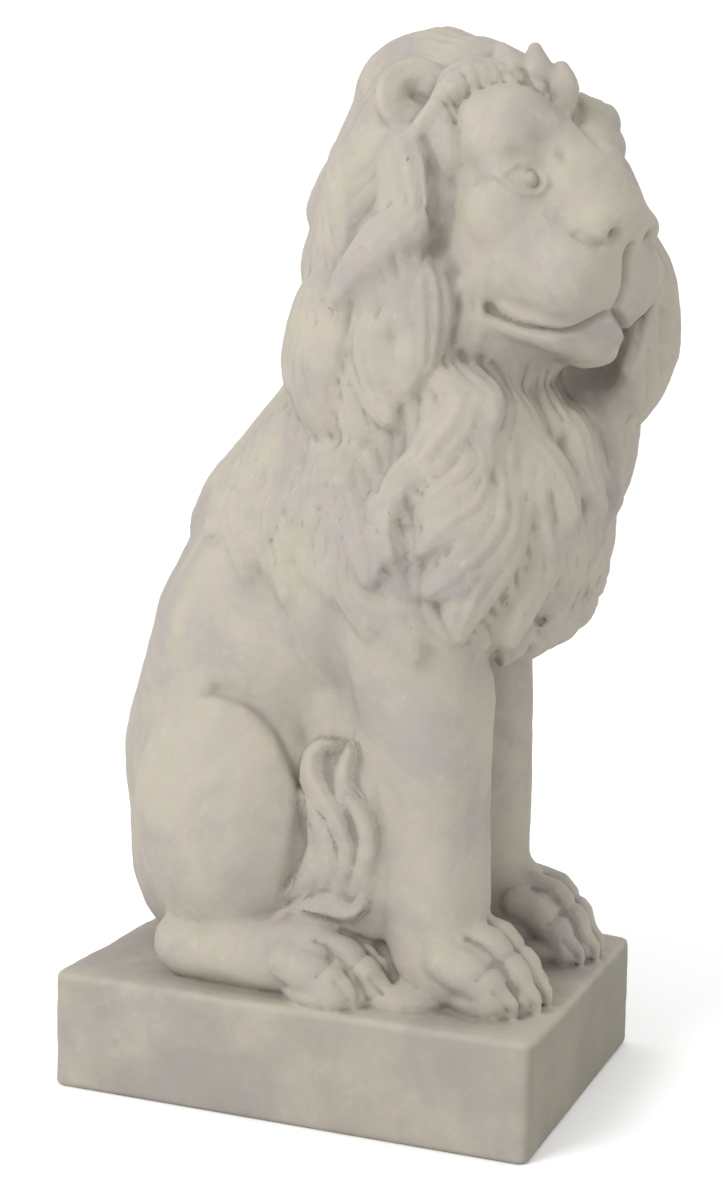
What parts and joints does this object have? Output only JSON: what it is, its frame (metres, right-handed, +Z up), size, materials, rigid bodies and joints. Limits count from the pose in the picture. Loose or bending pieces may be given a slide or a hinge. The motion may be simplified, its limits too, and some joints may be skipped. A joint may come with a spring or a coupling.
{
  "type": "sitting lion statue",
  "caption": "Sitting lion with a full mane and its head turned, cast in one piece with a low rectangular plinth, for a garden or doorway",
  "frame": {"origin": "centre of the plinth's underside", "axes": "+Z up, the lion's body faces -Y, its head turns to its right, towards -X"},
  "size_m": [0.389, 0.5666, 1.0836],
  "materials": {
    "cast_stone": "matte, pale cream with a thin grey and lavender wash"
  },
  "bodies": {
    "root": {"sitting_lion": "cast_stone"}
  },
  "joints": []
}
